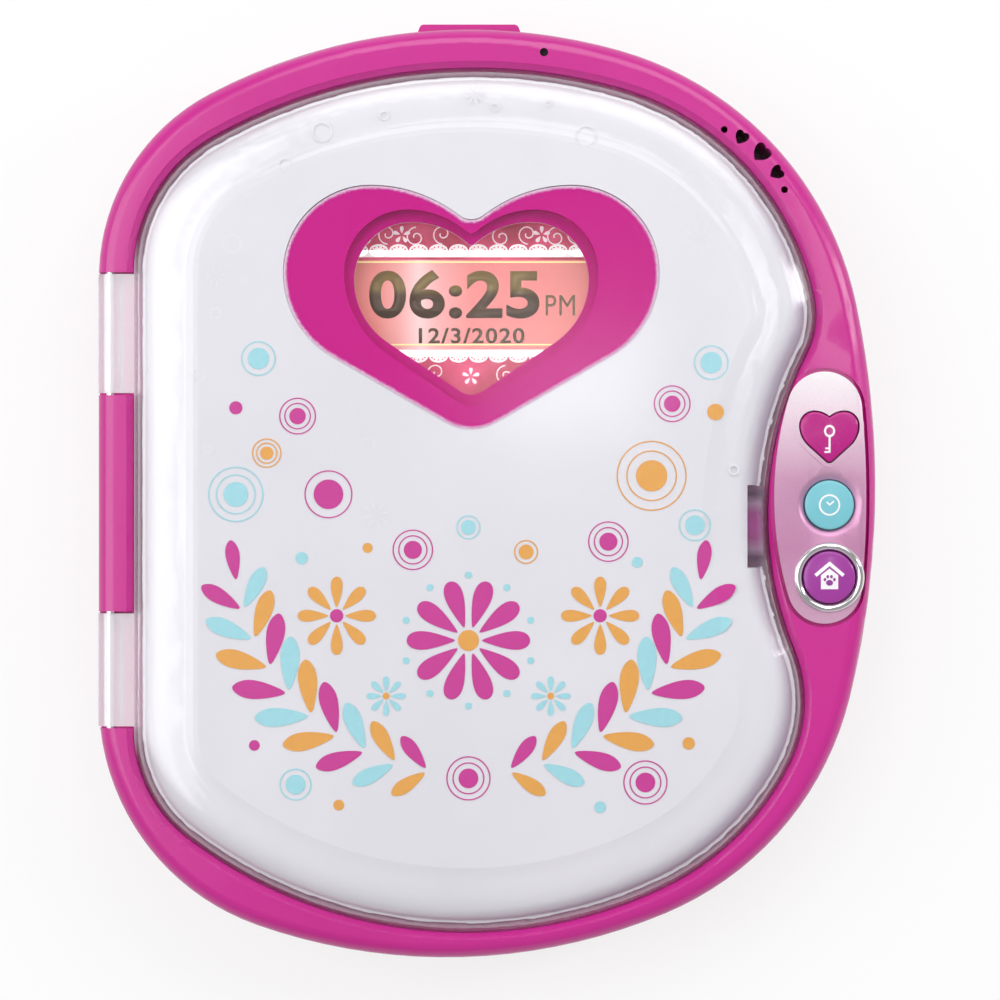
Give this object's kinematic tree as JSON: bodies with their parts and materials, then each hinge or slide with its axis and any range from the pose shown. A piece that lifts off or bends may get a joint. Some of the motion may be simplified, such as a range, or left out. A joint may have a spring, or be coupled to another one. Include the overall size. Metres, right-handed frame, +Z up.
{
  "type": "electronic diary",
  "caption": "Heart-window electronic diary: oval case, hinged clear-over-white lid, side control panel, keypad, screen, latch and battery bay.",
  "frame": {"origin": "on the table under the middle of the closed case's outline, thumb tab included", "axes": "+X from the hinge to the side buttons, +Y up the page away from the reader, +Z up through the lid"},
  "size_m": [0.19, 0.2286, 0.0369],
  "materials": {
    "case_magenta": "glossy magenta ABS",
    "deck_magenta": "satin magenta ABS",
    "clear_shell": "clear glossy acrylic",
    "pearl_white": "pearly white ABS",
    "liner_white": "white ABS, fine texture",
    "heart_surround": "magenta ABS behind a clear lens",
    "screen_cover": "clear polycarbonate",
    "lcd_glass": "printed display glass",
    "tray_white": "white ABS",
    "silicone_keys": "soft silicone",
    "silicone_pad": "soft silicone",
    "panel_silver_pink": "metallic silver-pink paint",
    "chrome": "bright chrome plating",
    "key_pink": "satin magenta ABS",
    "key_teal": "satin teal ABS",
    "key_purple": "satin purple ABS",
    "nav_key": "satin teal ABS",
    "catch": "smoky violet ABS",
    "latch_plastic": "white acetal",
    "spring_steel": "bright spring steel",
    "screw_steel": "zinc-plated steel",
    "bracket_steel": "plated sheet steel",
    "copper_coil": "enamelled copper wire",
    "speaker_basket": "pressed steel",
    "speaker_paper": "black paper cone",
    "board_green": "green glass-epoxy board",
    "chip_black": "black moulded packages",
    "dome_steel": "pressed steel domes",
    "wire_red": "PVC insulation",
    "ribbon": "grey flat cable",
    "rubber_dark": "black rubber",
    "rubber_feet": "dark magenta rubber",
    "cell": "sleeved dry cell",
    "hinge_pin": "bright steel rod"
  },
  "bodies": {
    "case": {"rear_case": "case_magenta", "front_frame": "case_magenta", "deck_plate": "deck_magenta", "screen_cover": "screen_cover", "lcd_glass": "lcd_glass", "lcd_tray": "tray_white", "keypad_mat": "silicone_keys", "keyboard_board": "board_green", "nav_domes": "dome_steel", "control_panel": "panel_silver_pink", "chrome_ring": "chrome", "side_button_pad": "silicone_pad", "side_button_board": "board_green", "latch_housing": "latch_plastic", "latch_spring": "spring_steel", "solenoid_frame": "bracket_steel", "solenoid_coil": "copper_coil", "speaker_frame": "speaker_basket", "speaker_cone": "speaker_paper", "speaker_ring": "rubber_dark", "speaker_wires": "wire_red", "battery_wires": "wire_red", "latch_wires": "wire_red", "button_wires": "wire_red", "mic_wires": "wire_red", "microphone": "bracket_steel", "mic_boot": "rubber_dark", "battery_contacts": "spring_steel", "battery_springs": "spring_steel", "battery_1": "cell", "battery_2": "cell", "battery_3": "cell", "battery_4": "cell", "main_board": "board_green", "main_chips": "chip_black", "keyboard_ribbon": "ribbon", "board_screws": "screw_steel", "case_screws": "screw_steel", "rubber_feet": "rubber_feet", "hinge_pin_upper": "hinge_pin", "hinge_pin_lower": "hinge_pin"},
    "lid": {"lid_outer_shell": "clear_shell", "lid_inner_shell": "pearl_white", "lid_liner": "liner_white", "lid_screws": "screw_steel", "heart_bezel": "heart_surround", "heart_lens": "clear_shell", "lid_catch": "catch"},
    "latch": {"latch_bolt": "latch_plastic", "solenoid_plunger": "bracket_steel"},
    "battery_door": {"battery_door": "case_magenta", "battery_door_screw": "screw_steel"},
    "key_button": {"key_button": "key_pink"},
    "clock_button": {"clock_button": "key_teal"},
    "home_button": {"home_button": "key_purple"},
    "up_key": {"up_key": "nav_key"},
    "down_key": {"down_key": "nav_key"},
    "left_key": {"left_key": "nav_key"},
    "right_key": {"right_key": "nav_key"},
    "ok_key": {"ok_key": "nav_key"}
  },
  "joints": [
    {"name": "lid_hinge", "type": "hinge", "parent": "case", "child": "lid", "pos_m": [-0.092, -0.0008, 0.029], "axis": [0, -1, 0], "range_deg": [0, 130]},
    {"name": "latch_slide", "type": "slide", "parent": "case", "child": "latch", "axis": [-1, 0, 0], "range_m": [0, 0.003]},
    {"name": "battery_door_hinge", "type": "hinge", "parent": "case", "child": "battery_door", "pos_m": [-0.0038, -0.0174, 0.002], "axis": [1, 0, 0], "range_deg": [0, 70]},
    {"name": "key_button_press", "type": "slide", "parent": "case", "child": "key_button", "axis": [0, 0, -1], "range_m": [0, 0.001], "stiffness_N_per_m": 400, "springref_m": -0.0005},
    {"name": "clock_button_press", "type": "slide", "parent": "case", "child": "clock_button", "axis": [0, 0, -1], "range_m": [0, 0.001], "stiffness_N_per_m": 400, "springref_m": -0.0005},
    {"name": "home_button_press", "type": "slide", "parent": "case", "child": "home_button", "axis": [0, 0, -1], "range_m": [0, 0.001], "stiffness_N_per_m": 400, "springref_m": -0.0005},
    {"name": "up_key_press", "type": "slide", "parent": "case", "child": "up_key", "axis": [0, 0, -1], "range_m": [0, 0.0008], "stiffness_N_per_m": 400, "springref_m": -0.0004},
    {"name": "down_key_press", "type": "slide", "parent": "case", "child": "down_key", "axis": [0, 0, -1], "range_m": [0, 0.0008], "stiffness_N_per_m": 400, "springref_m": -0.0004},
    {"name": "left_key_press", "type": "slide", "parent": "case", "child": "left_key", "axis": [0, 0, -1], "range_m": [0, 0.0008], "stiffness_N_per_m": 400, "springref_m": -0.0004},
    {"name": "right_key_press", "type": "slide", "parent": "case", "child": "right_key", "axis": [0, 0, -1], "range_m": [0, 0.0008], "stiffness_N_per_m": 400, "springref_m": -0.0004},
    {"name": "ok_key_press", "type": "slide", "parent": "case", "child": "ok_key", "axis": [0, 0, -1], "range_m": [0, 0.0008], "stiffness_N_per_m": 400, "springref_m": -0.0004}
  ]
}
